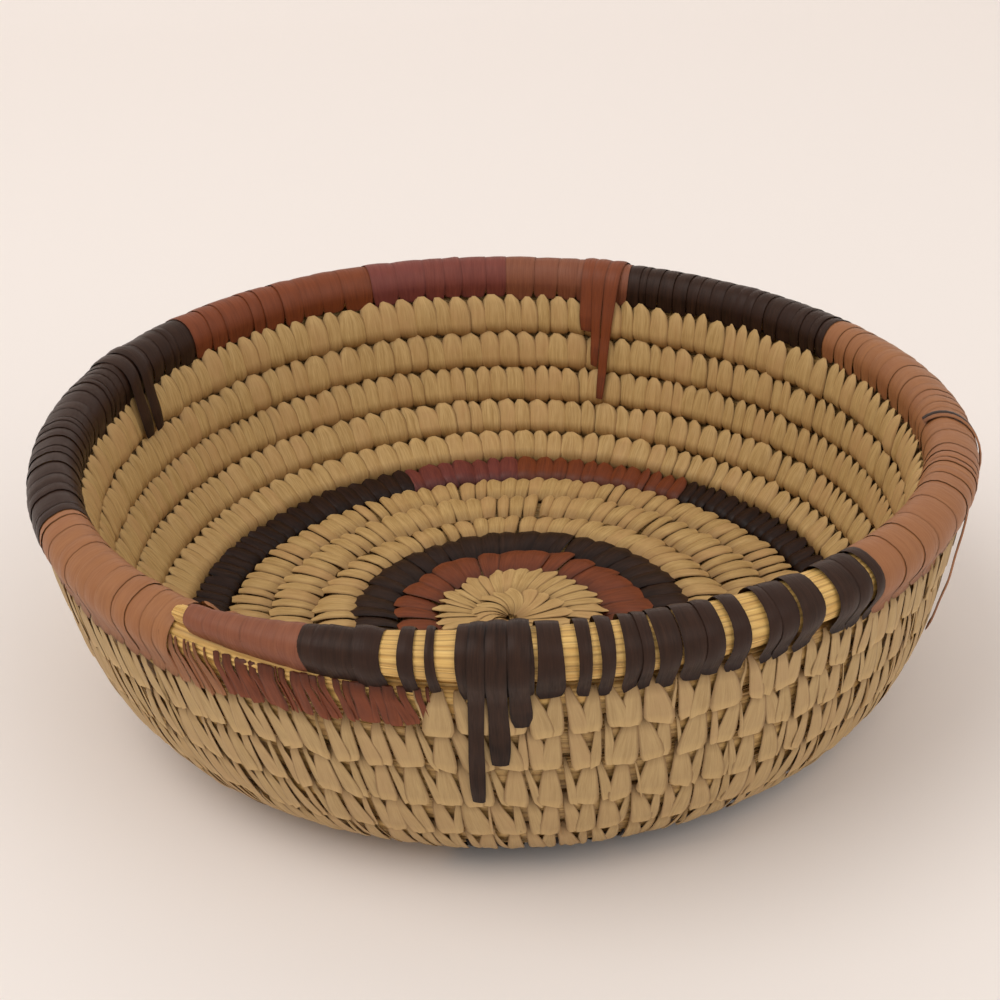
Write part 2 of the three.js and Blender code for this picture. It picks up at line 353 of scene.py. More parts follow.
# Streaks of the leaf: how fast they change along a strip, for each millimetre
streaks = {
    "fine": 0.18,
    "broad": 0.1,
    "mottle": (0.35, 0.3),   # across it and along it
    "apart": 41.0,           # how far one strip's streaks are from another's, for their whole range of tones
}


def leafFibresGroup():
    # Streaks that run along a leaf strip: fine ones, broad ones, and a slow mottling along its length
    group, given, out = newGroup(
        "leafFibres",
        [("Fine", "NodeSocketFloat", 3.2), ("Broad", "NodeSocketFloat", 0.9)],
        [("Fine", "NodeSocketFloat"), ("Broad", "NodeSocketFloat"), ("Mottle", "NodeSocketFloat"),
         ("Tone", "NodeSocketFloat"), ("Reach", "NodeSocketFloat"), ("Edge", "NodeSocketFloat"),
         ("Weathered", "NodeSocketFloat")])
    uv = group.nodes.new("ShaderNodeUVMap")
    uv.uv_map = "leafMap"
    note = group.nodes.new("ShaderNodeAttribute")
    note.attribute_name = "leafNote"
    part = group.nodes.new("ShaderNodeSeparateXYZ")
    group.links.new(uv.outputs[0], part.inputs[0])
    marks = group.nodes.new("ShaderNodeSeparateXYZ")
    group.links.new(note.outputs["Vector"], marks.inputs[0])

    def stretched(acrossScale, alongScale):
        # The strip's map, scaled across and along it, with its own tone as the third direction
        node = group.nodes.new("ShaderNodeCombineXYZ")
        group.links.new(mathNode(group, "MULTIPLY", part.outputs[0], acrossScale), node.inputs[0])
        group.links.new(mathNode(group, "MULTIPLY", part.outputs[1], alongScale), node.inputs[1])
        group.links.new(mathNode(group, "MULTIPLY", marks.outputs[0], streaks["apart"]), node.inputs[2])
        return node.outputs[0]

    fine = noiseNode(group, stretched(given.outputs["Fine"], streaks["fine"]), 1.0, 3.0, 0.6)
    broad = noiseNode(group, stretched(given.outputs["Broad"], streaks["broad"]), 1.0, 2.0, 0.5)
    mottle = noiseNode(group, stretched(*streaks["mottle"]), 1.0, 2.0, 0.5)
    mark = lens["weatheredMark"]
    weathered = mathNode(group, "GREATER_THAN", marks.outputs[2], mark - 0.5)
    edge = mathNode(group, "SUBTRACT", marks.outputs[2], mathNode(group, "MULTIPLY", weathered, mark))
    for label, value in (("Fine", fine), ("Broad", broad), ("Mottle", mottle), ("Tone", marks.outputs[0]),
                         ("Reach", marks.outputs[1]), ("Edge", edge), ("Weathered", weathered)):
        group.links.new(value, out.inputs[label])
    return group


leafFibres = leafFibresGroup()


def srgb(red, green, blue):
    # A colour written as 0 to 255, as the linear one that a shader takes
    c = np.array([red, green, blue]) / 255
    return tuple(float(x) for x in np.where(c <= 0.04045, c / 12.92, ((c + 0.055) / 1.055) ** 2.4))


# How the leaf's colours mix. A range is the note's low and high, and the share of the colour at each.
leafLook = {
    "weights": (0.55, 0.45),                # of the fine and the broad streaks
    "streaks": (0.36, 0.64),
    "otherTone": (0.35, 0.95, 0.0, 0.75),   # strips of another tone
    "mottle": (0.3, 0.7, 0.35, 1.0),
    "weathering": 0.45,                     # how pale the outer side is
    "buried": (0.0, 0.35, 0.55, 0.0),       # painted shade towards the buried end
    "edges": (0.74, 1.0, 0.0, 0.6),         # and painted shade along the edges, between the strips
    "tips": (0.8, 1.0, 0.0, 0.3),           # painted highlight towards the tip
    "bumpDepth": 0.25,                      # mm
}


def leafMaterial(name, light, dark, other, shadeColour, roughness=0.6, bump=0.25, gloss=0.3, pale=None):
    # Palm leaf: light and dark streaks along the strip, some strips of another tone, painted shade towards
    # the buried ends and along the edges, and a painted highlight towards the tips
    material = bpy.data.materials.new(name)
    material.use_nodes = True
    tree = material.node_tree
    shader = tree.nodes["Principled BSDF"]
    fibres = tree.nodes.new("ShaderNodeGroup")
    fibres.node_tree = leafFibres
    fine, broad = fibres.outputs["Fine"], fibres.outputs["Broad"]
    fineWeight, broadWeight = leafLook["weights"]
    both = mathNode(tree, "ADD", mathNode(tree, "MULTIPLY", fine, fineWeight),
                    mathNode(tree, "MULTIPLY", broad, broadWeight))
    colour = mixNode(tree, rangeNode(tree, both, *leafLook["streaks"]), srgb(*dark), srgb(*light))
    toneMix = mathNode(tree, "MULTIPLY", rangeNode(tree, fibres.outputs["Tone"], *leafLook["otherTone"]),
                       rangeNode(tree, fibres.outputs["Mottle"], *leafLook["mottle"]))
    colour = mixNode(tree, toneMix, colour, srgb(*other))
    if pale:
        outer = mathNode(tree, "MULTIPLY", fibres.outputs["Weathered"], leafLook["weathering"])
        colour = mixNode(tree, outer, colour, srgb(*pale))
    # Painted shade: darker towards the buried ends and along the edges, where shade falls between the strips
    colour = mixNode(tree, rangeNode(tree, fibres.outputs["Reach"], *leafLook["buried"]), colour, srgb(*shadeColour))
    colour = mixNode(tree, rangeNode(tree, fibres.outputs["Edge"], *leafLook["edges"]), colour, srgb(*shadeColour))
    # Painted highlight: lighter towards the far end of each strip
    tipHighlight = srgb(*(min(int(c * 1.1) + 8, 235) for c in light))
    colour = mixNode(tree, rangeNode(tree, fibres.outputs["Reach"], *leafLook["tips"]), colour, tipHighlight)
    tree.links.new(colour, shader.inputs["Base Color"])
    shader.inputs["Specular IOR Level"].default_value = gloss
    rough = rangeNode(tree, fine, 0.3, 0.7, roughness + 0.1, roughness - 0.08)
    tree.links.new(rough, shader.inputs["Roughness"])
    bumpNode = tree.nodes.new("ShaderNodeBump")
    bumpNode.inputs["Strength"].default_value = bump
    bumpNode.inputs["Distance"].default_value = leafLook["bumpDepth"] * mm
    ridges = mathNode(tree, "ADD", fine, mathNode(tree, "MULTIPLY", broad, 0.8))
    tree.links.new(ridges, bumpNode.inputs["Height"])
    tree.links.new(bumpNode.outputs[0], shader.inputs["Normal"])
    return material


# Colours of the grass, each as its dark and light streaks
grassLook = {
    "shaded": ((152, 116, 64), (200, 162, 100)),   # painted shade, between the stitches
    "bare": ((204, 156, 80), (232, 192, 116)),     # on the rim
    "oddStems": (168, 124, 66),
    # painted shade in the valleys between the stems
    "shadeBetweenStems": (110, 72, 32),
    "roughness": 0.55,
    "bump": 0.3,
    "bumpDepth": 0.3,                              # mm
}


def grassGold():
    # Dry grass stems: golden where they are bare on the rim, browner with painted shade between the stitches,
    # with a line of painted shade between one stem and the next
    material = bpy.data.materials.new("grassBundle")
    material.use_nodes = True
    tree = material.node_tree
    shader = tree.nodes["Principled BSDF"]
    fibres = tree.nodes.new("ShaderNodeGroup")
    fibres.node_tree = leafFibres
    fibres.inputs["Fine"].default_value = 6.0
    fibres.inputs["Broad"].default_value = 2.2
    streak = rangeNode(tree, fibres.outputs["Broad"], 0.35, 0.65)
    shaded = mixNode(tree, streak, *(srgb(*c) for c in grassLook["shaded"]))
    bare = mixNode(tree, streak, *(srgb(*c) for c in grassLook["bare"]))
    # Painted shade between the stitches, away from the rim
    colour = mixNode(tree, fibres.outputs["Reach"], shaded, bare)
    for note, name in (("Tone", "oddStems"), ("Edge", "shadeBetweenStems")):
        mask = rangeNode(tree, fibres.outputs[note], 0.6, 1.0, 0.0, 0.5)
        colour = mixNode(tree, mask, colour, srgb(*grassLook[name]))
    tree.links.new(colour, shader.inputs["Base Color"])
    shader.inputs["Roughness"].default_value = grassLook["roughness"]
    bump = tree.nodes.new("ShaderNodeBump")
    bump.inputs["Strength"].default_value = grassLook["bump"]
    bump.inputs["Distance"].default_value = grassLook["bumpDepth"] * mm
    tree.links.new(fibres.outputs["Fine"], bump.inputs["Height"])
    tree.links.new(bump.outputs[0], shader.inputs["Normal"])
    return material


print("materials")
leafMaterials = {
    "straw_leaf": leafMaterial("strawLeaf", (200, 166, 110), (168, 133, 80), (188, 147, 98), (96, 60, 27),
                               pale=(172, 147, 110)),
    "rust_leaf": leafMaterial("rustLeaf", (124, 60, 28), (96, 43, 18), (116, 56, 30), (44, 18, 8),
                              roughness=0.5, bump=0.15),
    "dark_leaf": leafMaterial("darkLeaf", (54, 34, 24), (28, 16, 11), (41, 25, 21), (12, 7, 6),
                              roughness=0.4, bump=0.18, gloss=0.15),
    "maroon_leaf": leafMaterial("maroonLeaf", (122, 60, 48), (94, 41, 35), (112, 55, 53), (42, 16, 17),
                                roughness=0.5, bump=0.15),
    "brown_leaf": leafMaterial("brownLeaf", (130, 76, 50), (106, 56, 37), (118, 64, 44), (50, 25, 15),
                               roughness=0.5, bump=0.15),
    "tan_leaf": leafMaterial("tanLeaf", (152, 100, 61), (128, 79, 46), (138, 84, 52), (70, 36, 20),
                             roughness=0.5, bump=0.15),
}
grassMaterial = grassGold()
slotOf = {row["node"]: row["material_slot"] for row in frame["record"]["subparts"]}
pieces = []


def finished(piece, slot, *nodes):
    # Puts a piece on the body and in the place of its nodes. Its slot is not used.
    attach(piece, "root")
    if nodes:
        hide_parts(*nodes)
    pieces.append(piece)
    return piece


# The bundle of grass under the stitching
bundle = {
    "depth": 0.85,         # under the middle of the stitches, on the outer side
    "innerDepth": 1.5,     # the same on the inner side and under the floor
    "rimDepth": 0.65,
    "stems": 26,           # round the section
    "stemWidths": (0.3, 1.9),   # least and most, against each other
    "stemRise": 0.3,
    "step": 4.4,           # along the coil
    "firstSteps": (0.3, 0.14),  # near the axis: a length, and a share of the radius to add
    "squareness": 0.35,    # of its outer side on the wall
    "squareFrom": (6.9, 5),     # turn from which the outer side is squarer, and how fast it grows so
    "wander": ((0.16, 3, 60), (0.12, 5, -141)),   # mm, lobes round the section, and speed along the coil
    "leastHeight": 1.9,    # above the ground, so that it stays inside the leaves underneath
    "twist": 0.4,          # turns of the stems round the bundle in one turn of the coil
}


def grassBundle():
    # A tube round the coil's middle: an oval, with one low ridge for each stem, that wanders a little
    ring = bundle["stems"] * 2
    turns = [coil["firstTurn"]]
    while turns[-1] < coil["lastTurn"]:
        radius = float(radiusAt(turns[-1]))
        least, byRadius = bundle["firstSteps"]
        turns.append(turns[-1] + min(bundle["step"], least + radius * byRadius) / (2 * np.pi * radius))
    t = np.minimum(np.array(turns), coil["lastTurn"])[:, None]
    stem = np.arange(ring)[None, :]
    widths = rng.uniform(*bundle["stemWidths"], ring // 2)
    edges = np.r_[0, np.cumsum(widths)] / widths.sum() * 2 * np.pi
    around = np.stack([(edges[:-1] + edges[1:]) / 2, edges[1:]], -1).reshape(1, -1)
    phi = around + bundle["twist"] * 2 * np.pi * t
    pitch = np.where(t > coil["floorTurns"], wallPitch, coil["floorPitch"])
    onRim = np.clip((t - coil["lastTurn"] + 1) * 40, 0, 1)
    isInner = np.sin(phi) > 0
    wallStart, growth = bundle["squareFrom"]
    onWall = np.clip((t - wallStart) * growth, 0, 1)
    depth = np.where(isInner | (onWall < 1), bundle["innerDepth"], bundle["depth"])
    depth = depth + (bundle["rimDepth"] - depth) * onRim
    reach = pitch / 2 + 0.25
    halfUp = reach * (1 - onRim) + (coil["halfRim"] * worn(t) - depth) * onRim
    halfDown = (reach - 0.9 * onRim) * worn(t)
    halfThrough = through(t) - depth
    ridge = np.where(stem % 2 == 0, 0.5, -0.5) * bundle["stemRise"] * (1 - 0.4 * onRim)
    wander = sum(size * np.sin(phi * lobes + speed * t) for size, lobes, speed in bundle["wander"]) + ridge
    up = np.where(np.cos(phi) > 0, halfUp, halfDown)
    slide = (worn(t) - 1) * (pitch / 2)
    flat = np.where(isInner, 1, 1 - bundle["squareness"] * onWall * (1 - onRim))
    share = (np.sign(np.cos(phi)) * np.abs(np.cos(phi)) ** flat * (up + wander) + slide) / pitch
    height = np.sign(np.sin(phi)) * np.abs(np.sin(phi)) ** flat * (halfThrough + wander)
    points = skin(np.broadcast_to(t, share.shape), share, height)
    points[:, :, 2] = np.maximum(points[:, :, 2], bundle["leastHeight"])
    count = len(t)
    run = np.cumsum(np.r_[0, np.linalg.norm(np.diff(points.mean(1), axis=0), axis=1)])
    uvs = np.stack([np.broadcast_to(stem * 0.5, share.shape), np.broadcast_to(run[:, None], share.shape)], -1)
    tone = np.repeat(rng.random(ring // 2), 2)[None, :] * np.ones_like(share)
    # 1 on the rim, where the grass is bare, and 0 below, where it takes the painted shade between the
    # stitches
    bare = np.broadcast_to(smooth(t, [12.9, 13.0], [0, 1]), share.shape)
    # The third note marks the valleys between the stems, for their painted shade
    notes = np.stack([tone, bare, np.broadcast_to((stem % 2) * 1.0, share.shape)], -1)
    k = np.arange(count - 1)[:, None]
    here = k * ring + stem
    beside = k * ring + (stem + 1) % ring
    quads = np.stack([here, beside, beside + ring, here + ring], -1).reshape(-1, 4)
    caps = [stem[:, ::-1], (count - 1) * ring + stem]
    piece = meshObject("grass_bundle", points.reshape(-1, 3), quads, caps, uvs.reshape(-1, 2),
                       notes.reshape(-1, 3), grassMaterial)
    return finished(piece, "grass_bundle", "foundation_coil")


print("grass bundle")
grassBundle()


# Where the stitches lie
stitches = {
    "floorCounts": (12, 34, 27, 44, 64, 84, 104),   # stitches in each turn of the floor, from the first
    "wallCount": 106,       # the same on every course of the wall, so that they line up
    "floorCrowding": 0.08,   # how much closer they lie at the back of the floor
    "floorCrowdedAt": 90,    # degrees
    "crowding": 0.13,        # how much wider and closer by turns they lie round the wall, in three lobes
    "lobesAt": 75,           # degrees
    "samples": 60000,
}


def stitchPlaces():
    # Turns at which the stitches lie. The count so far grows by the local number in each turn, times a wave
    # of one lobe round the floor and of three lobes round the wall.
    t = np.linspace(coil["firstTurn"], 13.1, stitches["samples"])
    counts = np.array(stitches["floorCounts"] + (stitches["wallCount"],))
    perTurn = counts[np.clip(np.floor(t + 1e-9).astype(int), 0, len(counts) - 1)]
    floorAngle = angleAt(t) - np.radians(stitches["floorCrowdedAt"])
    lobes = np.where(t < 7, 1 + stitches["floorCrowding"] * np.cos(floorAngle),
                     1 - stitches["crowding"] * np.cos(3 * (angleAt(t) + np.radians(stitches["lobesAt"]))))
    count = np.cumsum(perTurn * lobes) * (t[1] - t[0])
    return np.interp(np.arange(1, int(count[-1])), count, t)


places = stitchPlaces()


def stitchesIn(start, end):
    # The stitches between two turns, with the space that each has, in mm
    turn = places[(places >= start) & (places < end)]
    index = np.searchsorted(places, turn)
    after = places[np.minimum(index + 1, len(places) - 1)]
    before = places[np.maximum(index - 1, 0)]
    spacing = np.maximum(after - before, 0) / 2 * 2 * np.pi * radiusAt(turn)
    return turn, spacing


def unevenPlaces(start, end, spacing, spread, closeness=lambda t: np.ones_like(t)):
    # Places between two turns whose spaces differ, as turns and mm, and fill the stretch exactly
    t = np.linspace(start, end, 200)
    density = 2 * np.pi * radiusAt(t) / (spacing * closeness(t))
    sofar = np.r_[0, np.cumsum((density[1:] + density[:-1]) / 2 * np.diff(t))]
    parts = np.clip(varied(max(int(round(sofar[-1])), 1), 1, spread), 0.5, 1.7)
    edges = np.interp(np.r_[0, np.cumsum(parts)] / parts.sum() * sofar[-1], sofar, t)
    turn = (edges[1:] + edges[:-1]) / 2
    return turn, np.diff(edges) * 2 * np.pi * radiusAt(turn)


def sideOf(turn):
    # The side of the basket that a turn is on, in degrees: 0 at the right, 90 at the back, 270 at the front
    return np.degrees(angleAt(turn)) % 360


def nearEdge(turn):
    # The strips lap with the edge raised that is nearer the front
    return np.where(np.cos(angleAt(turn)) > -0.3, 1.0, -1.0)


# Inner side of a wall course: plump grains whose pointed tops lie over the course above
grain = {
    "steps": 9,
    "spacings": {7: 4.7, 8: 5.6, 9: 5.4, 10: 4.8, 11: 5.8, 12: 5.6, 13: 6.0},   # by course
    "spread": 0.16,
    "width": 1.3,         # of the spacing, so that they overlap
    "usualSpacing": 6.2,  # at which the crown is full
    "crown": 1.2,
    "crease": 0.12,
    "leaf": 0.5,
    "low": (-0.54, 0.015),   # where they start and end, in shares of a course, each with its spread
    "high": (0.57, 0.03),
    "sway": 0.7,             # spread of the lean
    "roll": (0.14, 0.05),
    "facesAway": (0.26, 0.85),   # how much more they roll at the front and back, and the share that does
    "closeness": ([0, 45, 75, 110, 150, 205, 240, 330, 360],            # by the side of the basket
                  [0.95, 0.9, 0.98, 1.02, 0.78, 0.76, 1, 1, 0.95]),
    "lean": ([0, 60, 100, 150, 200, 360],                               # of the tips, in mm, by the side
             [0.2, -0.7, -1.2, -1.6, -0.4, 0.2]),
    "rise": ([0, 0.14, 0.4, 0.75, 1], [0.56, 0.84, 0.9, 0.87, 0.8]),    # shares of half the thickness
    "outline": ([0, 0.12, 0.4, 0.65, 0.82, 0.94, 1], [0.56, 0.87, 1, 0.94, 0.76, 0.54, 0.26]),
    "crownLine": ([0, 0.25, 0.8, 1], [0.75, 1, 0.75, 0.3]),
}


def grainCloseness(turn):
    # How close the grains lie, in straight lines between the knots round the basket
    return np.interp(sideOf(turn), *grain["closeness"])


def grainLean(turn):
    # How far their tips lie along the coil from their buried ends, in the same way
    return np.interp(sideOf(turn), *grain["lean"])


def grains(start, end):
    # Each runs up its course, with its height, width and crown as smooth lines over its length
    spacing = grain["spacings"][int(start + 1e-6)]
    turn, spacing = unevenPlaces(start, end, spacing, grain["spread"], grainCloseness)
    n = len(turn)
    s = np.linspace(0, 1, grain["steps"])
    low = varied(n, *grain["low"])[:, None]
    high = varied(n, *grain["high"])[:, None]
    share = low + (high - low) * s
    height = through(turn)[:, None] * smooth(s, *grain["rise"])
    height = height + varied(n, 0, 0.12)[:, None]
    halfWidth = (spacing / 2 * grain["width"])[:, None] * smooth(s, *grain["outline"])
    drift = (grainLean(turn) + varied(n, 0, grain["sway"]))[:, None] * (s - 0.5) ** 3 * 4
    size = np.clip(spacing / grain["usualSpacing"], 0.55, 1.15)[:, None]
    crown = grain["crown"] * smooth(s, *grain["crownLine"]) * size
    roll = varied(n, *grain["roll"])
    more, usual = grain["facesAway"]
    roll = roll + more * np.abs(np.sin(angleAt(turn))) * np.where(rng.random(n) < usual, 1, -1)
    return strips(turn, drift, halfWidth, share, height, 1, crown, roll, grain["leaf"], rng.random(n), 0,
                  grain["crease"])


# Outer side of a wall course: each stitch is split by the foot of the one above into two legs that meet at a
# foot of their own
leg = {
    "steps": 9,
    "crown": 0.16,
    "crease": 0.09,
    "leaf": 0.45,
    "spread": 0.25,        # of the places, in mm along the coil
    "high": (0.47, 0.02),  # where they come out, in shares of a course, with the spread
    "even": (0.3, 0.75),   # share of the stitches with two equal legs, in the wall and right under the rim
    "lone": 0.22,          # share with one broad leg and a thread
    "widths": {            # of the two legs, and where they stand at the foot, as shares of the spacing
        "even": (0.58, 0.54, 0.13, 0.13),
        "lone": (0.82, 0.12, 0.0, 0.3),
        "uneven": (0.7, 0.32, 0.06, 0.27),
    },
    "underRim": (3.6, 0.3),    # spacing and its spread where the rim coil itself is stitched
    "lean": ([0, 90, 180, 235, 250, 262, 278, 293, 310, 330, 360],      # of the tops, in mm, by the side
             [1.2, 0.6, 1.5, 3.0, 2.6, 1.6, 1.2, 0.6, 0.9, 1.3, 1.2]),
    "leftShare": ([0, 180, 240, 280, 310, 360],    # share whose broad leg is the one further along the coil
                  [0.5, 0.6, 0.7, 0.45, 0.45, 0.5]),
    "rise": ([0, 0.15, 0.4, 0.75, 1], [0.7, 0.91, 0.99, 1.03, 1.03]),
}


def leanAt(turn):
    # How far the tops lean along the coil, in straight lines between the knots round the basket
    return np.interp(sideOf(turn), *leg["lean"])


def leftShare(turn):
    # The share of the stitches whose broad leg is the one further along the coil, in the same way
    return np.interp(sideOf(turn), *leg["leftShare"])


def legs(start, end, low=-0.68, slim=1.0, top=0.3):
    # Each leg bends from its place at the top, beside the foot above, to its place in its own foot
    if start < 13:
        turn, spacing = stitchesIn(start, end)
    else:
        turn, spacing = unevenPlaces(start, end, *leg["underRim"])
    n = len(turn)
    s = np.linspace(0, 1, leg["steps"])
    turn = turn + varied(n, 0, leg["spread"]) / (2 * np.pi * radiusAt(turn))
    evenShare = leg["even"][1 if 12 <= start < 13 else 0]
    draw = rng.random(n)[:, None]
    looks = np.where(draw < evenShare, leg["widths"]["even"],
                     np.where(draw > 1 - leg["lone"], leg["widths"]["lone"], leg["widths"]["uneven"]))
    looks = looks * spacing[:, None]
    first = rng.random(n) < leftShare(turn)   # which side the broad leg is on
    lean = leanAt(turn) + varied(n, 0, 0.7)
    bottom = varied(n, low, 0.03)
    slant = varied(n, 0, 0.05)
    parts = []
    for isBroad in (False, True):
        width = (looks[:, 0] if isBroad else looks[:, 1]) * varied(n, 1, 0.07) * slim
        sign = np.where(first == isBroad, 1.0, -1.0)
        atFoot = sign * (looks[:, 2] if isBroad else looks[:, 3])
        atTop = lean + sign * (spacing * 0.5 - width * 0.3)
        high = varied(n, *leg["high"])[:, None]
        foot = (bottom + (0.0 if isBroad else 0.02))[:, None]
        share = high + (foot - high) * s
        height = through(turn)[:, None] * smooth(s, *leg["rise"])
        height = height + varied(n, 0.12 if isBroad else 0, 0.06)[:, None]
        shape = smooth(s, [0, 0.2, 0.5, 0.78, 0.9, 1], [top, 0.45 + 0.45 * top, 0.86, 1.05, 1.04, 0.86])
        drift = atTop[:, None] * (1 - s) ** 1.25 + atFoot[:, None] * (1 - (1 - s) ** 1.25)
        crown = leg["crown"] * smooth(s, [0, 0.5, 1], [1, 1, 0.6]) * np.ones((n, 1))
        parts.append(strips(turn, drift, width[:, None] / 2 * shape, share, height, -1, crown,
                            varied(n, 0, 0.12), leg["leaf"], rng.random(n), slant, leg["crease"], True))
    return joined(parts)


# Upper and lower side of the floor: broad tiles that lap over the course inside, or leaves that lap outwards
tile = {
    "steps": 8,
    "leaf": 0.5,
    "crease": 0.07,
    "endSpread": 0.035,
    "widthSpread": 0.14,
    "roll": (0.16, 0.06),
    "looks": {   # for each turn: inner and outer end as shares of a course, lean in mm, width as a share of
                 # the spacing, and crown in mm
        1: (-0.5, 0.64, 1.8, 1.3, 0.3),
        2: (-0.5, 0.6, 1.3, 1.25, 0.3),
        3: (-0.5, 0.56, 1.0, 1.2, 0.5),
        4: (-0.64, 0.5, 0.5, 1.1, 0.8),
        5: (-0.6, 0.48, 0.4, 1.08, 0.8),
        6: (-0.6, 0.48, 0.4, 1.08, 0.8),
    },
    "lapsIn": -0.6,     # inner end under which a tile laps over the course inside
    "pointed": 0.63,    # outer end past which a leaf is pointed
    "rises": (([0, 0.15, 0.5, 0.8, 1], [0.74, 0.92, 0.99, 0.88, 0.66]),      # lapping in, lapping out
              ([0, 0.2, 0.5, 0.8, 1], [0.7, 0.86, 0.95, 0.96, 0.84])),
    "outlines": (([0, 0.08, 0.3, 0.6, 0.85, 1], [0.5, 0.82, 1, 1, 0.82, 0.5]),   # lapping in, pointed, blunt
                 ([0, 0.2, 0.6, 0.85, 1], [0.8, 0.92, 1, 0.8, 0.25]),
                 ([0, 0.2, 0.6, 0.85, 1], [0.84, 0.94, 1, 0.94, 0.62])),
}


def tiles(start, end, side):
    # Each runs outwards over its course, above where side is 1 and below where it is -1
    turn, spacing = stitchesIn(max(start, 1.0), end)
    n = len(turn)
    turn = turn + varied(n, 0, 0.05) * spacing / (2 * np.pi * radiusAt(turn))
    s = np.linspace(0, 1, tile["steps"])
    looks = np.array([tile["looks"][max(int(k), 1)] for k in turn])
    inner, outer, lean, width, crown = (looks[:, [i]] for i in range(5))
    low = inner + varied(n, 0, tile["endSpread"])[:, None]
    high = outer + varied(n, 0, tile["endSpread"])[:, None] * np.where(outer > tile["pointed"], 2, 1)
    share = low + (high - low) * s
    lapsIn = inner < tile["lapsIn"]
    risesIn, risesOut = (smooth(s, *line) for line in tile["rises"])
    bulge = np.where(lapsIn, risesIn, risesOut)
    size = through(turn)[:, None] * bulge
    if side < 0:
        size = (coil["floorLift"] - 0.45) * (1 - (1 - bulge) * 0.5)
    height = size + varied(n, 0, 0.1)[:, None] * (side > 0)
    lapping, pointed, blunt = (smooth(s, *line) for line in tile["outlines"])
    outline = np.where(lapsIn, lapping, np.where(outer > tile["pointed"], pointed, blunt))
    halfWidth = (spacing / 2 * varied(n, 1, tile["widthSpread"]))[:, None] * width * outline
    drift = (lean + varied(n, 0, 0.5)[:, None]) * (s - 0.5)
    lift = crown * (0.6 if side < 0 else 1.0) * np.ones_like(s)
    roll = varied(n, *tile["roll"]) * nearEdge(turn)
    return strips(turn, drift, halfWidth, share, height, side, lift, roll, tile["leaf"], rng.random(n),
                  varied(n, 0, 0.04), tile["crease"])


# Leaves from the very centre
petal = {
    "count": 17,
    "steps": 10,
    "past": 3.5,           # mm that they reach over the next course
    "leastReach": 11,      # mm from the axis
    "crown": 0.16,
    "twist": (0.11, 0.015),   # how far they curve along the coil, as a share of a turn, and the spread
    "rise": ([0, 0.25, 0.6, 1], [0.62, 0.8, 0.9, 0.84]),
    "outline": ([0, 0.3, 0.65, 0.88, 1], [1.5, 1.25, 1.12, 0.95, 0.4]),
}


def petals(side):
    # Long curved leaves from the very centre over the first turn of the coil, out to the leaves of the
    # second. Each goes out at an even pace, and turns most of its way round near the centre.
    n = petal["count"]
    turn = 1 + (np.arange(n) + 0.3 * rng.random(n)) / n
    s = np.linspace(0, 1, petal["steps"])
    ends = coil["floorPitch"] * (turn - 0.5) - coil["centreDraw"] + petal["past"]
    ends = np.maximum(ends, petal["leastReach"]) + varied(n, 0, 0.6)
    radius = 0.5 + (ends[:, None] - 0.5) * s
    share = (radius + coil["centreDraw"]) / coil["floorPitch"] - turn[:, None]
    above = smooth(s, *petal["rise"]) * coil["halfThrough"]
    below = np.full_like(s, coil["floorLift"] - 0.4)
    height = (above if side > 0 else below) + varied(n, 0, 0.08)[:, None] * (side > 0)
    around = 2 * np.pi * radiusAt(turn)[:, None]
    halfWidth = around / n / 2 * smooth(s, *petal["outline"])
    drift = around * varied(n, *petal["twist"])[:, None] * (1 - s) ** 1.3
    crown = np.full((n, petal["steps"]), petal["crown"])
    roll = varied(n, 0.2, 0.05) * nearEdge(turn)
    return strips(turn, drift, halfWidth, share, height, side, crown, roll, tile["leaf"], rng.random(n), 0,
                  tile["crease"])


def nodeRanges():
    # The stretch of turns that each stitching node holds below the rim
    ranges = {
        "centre_stitching": (coil["firstTurn"], 2), "rust_ring_stitching": (2, 3),
        "dark_ring_stitching": (3, 4), "floor_stitching_inner": (4, 5),
        "floor_stitching_middle": (5, 6), "floor_stitching_outer": (6, 7),
        "band_stitching_dark_left": (7, 7.42), "band_stitching_maroon": (7.42, 7.485),
        "band_stitching_rust": (7.485, 7.585), "band_stitching_dark_right": (7.585, 8),
        "rim_stitching_rust_start": (13, 13.064),
    }
    quarters = ("front_left", "back_left", "back_right", "front_right")
    for i in range(5):
        for k, quarter in enumerate(quarters):
            start = 8 + i + k / 4
            ranges[f"wall_stitching_{i + 1}_{quarter}"] = (start, start + 0.25)
    return ranges


def stitchedNodes():
    # Every length of stitching that has another course above it, each as one piece
    for node, (start, end) in nodeRanges().items():
        if start < 7:
            parts = [tiles(start, end, 1), tiles(start, end, -1)]
            if start < 1:
                parts += [petals(1), petals(-1)]
        elif start == 13:
            parts = [grains(start, end), legs(start, end, -0.52, 1.05, 0.85)]
        else:
            parts = [grains(start, end), legs(start, end)]
        slot = slotOf[node]
        finished(meshObject(node + "_leaves", *joined(parts), leafMaterials[slot]), slot, node)


print("stitches")
stitchedNodes()


